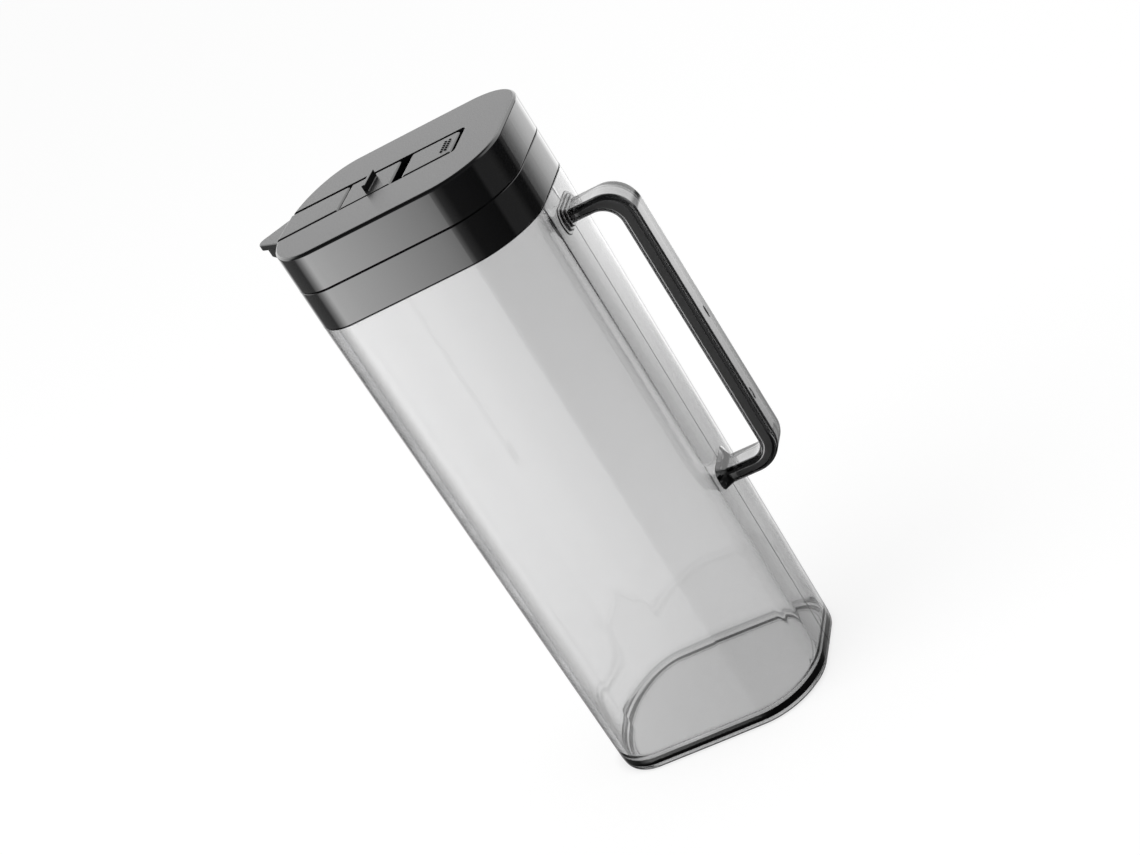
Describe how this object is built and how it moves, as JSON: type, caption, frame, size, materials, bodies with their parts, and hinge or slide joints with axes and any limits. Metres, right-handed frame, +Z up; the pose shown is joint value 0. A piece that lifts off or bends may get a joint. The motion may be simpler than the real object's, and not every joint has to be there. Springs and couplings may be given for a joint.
{
  "type": "water jug",
  "caption": "Tall slim clear jug of rounded oblong section with a side handle and a dark two-band lid: push panel, pouring flap with a beak, and a sliding lock.",
  "frame": {"origin": "centre of the bounding box at the foot, on the surface that the jug stands on", "axes": "+Z up, +X towards the handle, -X towards the beak, Y across the jug"},
  "size_m": [0.154, 0.098, 0.2823],
  "materials": {
    "clear_body": "clear injection moulded plastic with a faint neutral grey tint, polished",
    "lid_plastic": "dark grey moulded plastic, glossy on the bands and satin on top",
    "silicone": "matt grey silicone",
    "steel": "bright drawn wire"
  },
  "bodies": {
    "jug": {"jug_body": "clear_body"},
    "lid": {"lid_base": "lid_plastic", "lid_cover": "lid_plastic", "lid_gasket": "silicone", "lever_pin": "steel", "return_spring": "steel"},
    "lever": {"pour_lever": "lid_plastic", "flap_seal": "silicone"},
    "lock": {"lock_slider": "lid_plastic"}
  },
  "joints": [
    {"name": "lid_lift", "type": "slide", "parent": "jug", "child": "lid", "axis": [0, 0, 1], "range_m": [0, 0.1]},
    {"name": "lever_pivot", "type": "hinge", "parent": "lid", "child": "lever", "pos_m": [-0.0192, 0, 0.274], "axis": [0, 1, 0], "range_deg": [0, 7], "stiffness_Nm_per_rad": 0.35, "springref_deg": -8.59, "deforming": ["return_spring"]},
    {"name": "lock_slide", "type": "slide", "parent": "lid", "child": "lock", "axis": [1, 0, 0], "range_m": [0, 0.005]}
  ]
}
